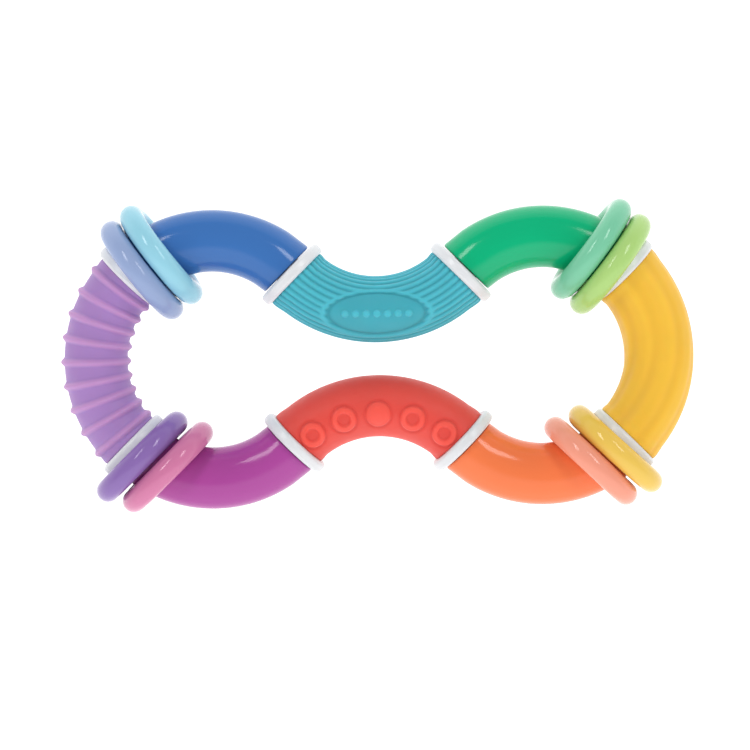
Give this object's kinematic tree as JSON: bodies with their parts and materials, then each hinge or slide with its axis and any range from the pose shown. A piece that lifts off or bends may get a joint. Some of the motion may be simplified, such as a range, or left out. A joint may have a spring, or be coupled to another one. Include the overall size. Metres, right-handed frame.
{
  "type": "teething ring",
  "caption": "Peanut-shaped loop of glossy tube and soft textured sleeve segments that swivel on white flanged cores, with loose rings round the tubes.",
  "frame": {"origin": "middle of the loop's bounding box, in the plane of the loop", "axes": "+X along the loop's length, from the purple end to the yellow end; +Y across the loop, towards the teal middle segment; +Z through the loop, towards the front with the oval pad and the dots"},
  "size_m": [0.1653, 0.0804, 0.031],
  "materials": {
    "white_core": "satin",
    "blue_tube": "gloss",
    "green_tube": "gloss",
    "orange_tube": "gloss",
    "magenta_tube": "gloss",
    "yellow_sleeve": "satin",
    "purple_sleeve": "satin",
    "teal_sleeve": "satin",
    "red_sleeve": "satin",
    "periwinkle_ring": "gloss",
    "light_blue_ring": "gloss",
    "lime_ring": "gloss",
    "mint_ring": "gloss",
    "pale_yellow_ring": "gloss",
    "salmon_ring": "gloss",
    "violet_ring": "gloss",
    "pink_ring": "gloss"
  },
  "bodies": {
    "green": {"green_tube_front": "green_tube", "green_tube_back": "green_tube"},
    "blue": {"blue_tube_front": "blue_tube", "blue_tube_back": "blue_tube"},
    "orange": {"orange_tube_front": "orange_tube", "orange_tube_back": "orange_tube"},
    "magenta": {"magenta_tube_front": "magenta_tube", "magenta_tube_back": "magenta_tube"},
    "yellow": {"yellow_core_front": "white_core", "yellow_core_back": "white_core", "yellow_fluted_sleeve": "yellow_sleeve"},
    "purple": {"purple_core_front": "white_core", "purple_core_back": "white_core", "purple_ribbed_sleeve": "purple_sleeve"},
    "teal": {"teal_core_front": "white_core", "teal_core_back": "white_core", "teal_grooved_sleeve": "teal_sleeve"},
    "red": {"red_core_front": "white_core", "red_core_back": "white_core", "red_dotted_sleeve": "red_sleeve"},
    "periwinkle_ring": {"periwinkle_ring": "periwinkle_ring"},
    "light_blue_ring": {"light_blue_ring": "light_blue_ring"},
    "lime_ring": {"lime_ring": "lime_ring"},
    "mint_ring": {"mint_ring": "mint_ring"},
    "pale_yellow_ring": {"pale_yellow_ring": "pale_yellow_ring"},
    "salmon_ring": {"salmon_ring": "salmon_ring"},
    "violet_ring": {"violet_ring": "violet_ring"},
    "pink_ring": {"pink_ring": "pink_ring"}
  },
  "joints": [
    {"name": "green_yellow_swivel", "type": "hinge", "parent": "green", "child": "yellow", "pos_m": [0.0642, 0.02206, 0], "axis": [-0.7071, 0.7071, 0], "range_deg": [-35, 35]},
    {"name": "yellow_orange_swivel", "type": "hinge", "parent": "yellow", "child": "orange", "pos_m": [0.0642, -0.02206, 0], "axis": [-0.7071, -0.7071, 0], "range_deg": [-35, 35]},
    {"name": "orange_red_swivel", "type": "hinge", "parent": "orange", "child": "red", "pos_m": [0.02206, -0.02206, 0], "axis": [-0.7071, 0.7071, 0], "range_deg": [-15, 15]},
    {"name": "red_magenta_swivel", "type": "hinge", "parent": "red", "child": "magenta", "pos_m": [-0.02206, -0.02206, 0], "axis": [0.7071, 0.7071, 0], "range_deg": [-15, 15]},
    {"name": "green_teal_swivel", "type": "hinge", "parent": "green", "child": "teal", "pos_m": [0.02206, 0.02206, 0], "axis": [0.7071, 0.7071, 0], "range_deg": [-15, 15]},
    {"name": "teal_blue_swivel", "type": "hinge", "parent": "teal", "child": "blue", "pos_m": [-0.02206, 0.02206, 0], "axis": [-0.7071, 0.7071, 0], "range_deg": [-15, 15]},
    {"name": "blue_purple_swivel", "type": "hinge", "parent": "blue", "child": "purple", "pos_m": [-0.0642, 0.02206, 0], "axis": [-0.7071, -0.7071, 0], "range_deg": [-35, 35]},
    {"name": "periwinkle_ring_slide", "type": "hinge", "parent": "blue", "child": "periwinkle_ring", "pos_m": [-0.04313, 0.00198, 0], "axis": [0, 0, -1], "range_deg": [0, 27]},
    {"name": "light_blue_ring_slide", "type": "hinge", "parent": "periwinkle_ring", "child": "light_blue_ring", "pos_m": [-0.04313, 0.00198, 0], "axis": [0, 0, -1], "range_deg": [0, 27]},
    {"name": "lime_ring_slide", "type": "hinge", "parent": "green", "child": "lime_ring", "pos_m": [0.04313, 0.00198, 0], "axis": [0, 0, 1], "range_deg": [0, 27]},
    {"name": "mint_ring_slide", "type": "hinge", "parent": "lime_ring", "child": "mint_ring", "pos_m": [0.04313, 0.00198, 0], "axis": [0, 0, 1], "range_deg": [0, 27]},
    {"name": "pale_yellow_ring_slide", "type": "hinge", "parent": "orange", "child": "pale_yellow_ring", "pos_m": [0.04313, -0.00198, 0], "axis": [0, 0, -1], "range_deg": [0, 22]},
    {"name": "salmon_ring_slide", "type": "hinge", "parent": "pale_yellow_ring", "child": "salmon_ring", "pos_m": [0.04313, -0.00198, 0], "axis": [0, 0, -1], "range_deg": [0, 22]},
    {"name": "violet_ring_slide", "type": "hinge", "parent": "magenta", "child": "violet_ring", "pos_m": [-0.04313, -0.00198, 0], "axis": [0, 0, 1], "range_deg": [0, 22]},
    {"name": "pink_ring_slide", "type": "hinge", "parent": "violet_ring", "child": "pink_ring", "pos_m": [-0.04313, -0.00198, 0], "axis": [0, 0, 1], "range_deg": [0, 22]}
  ],
  "couplings": [
    {"joint": "yellow_orange_swivel", "follows": "green_yellow_swivel", "ratio": 1},
    {"joint": "blue_purple_swivel", "follows": "green_yellow_swivel", "ratio": 1},
    {"joint": "orange_red_swivel", "follows": "green_yellow_swivel", "ratio": 0.423},
    {"joint": "red_magenta_swivel", "follows": "green_yellow_swivel", "ratio": 0.423},
    {"joint": "green_teal_swivel", "follows": "green_yellow_swivel", "ratio": 0.423},
    {"joint": "teal_blue_swivel", "follows": "green_yellow_swivel", "ratio": 0.423}
  ]
}
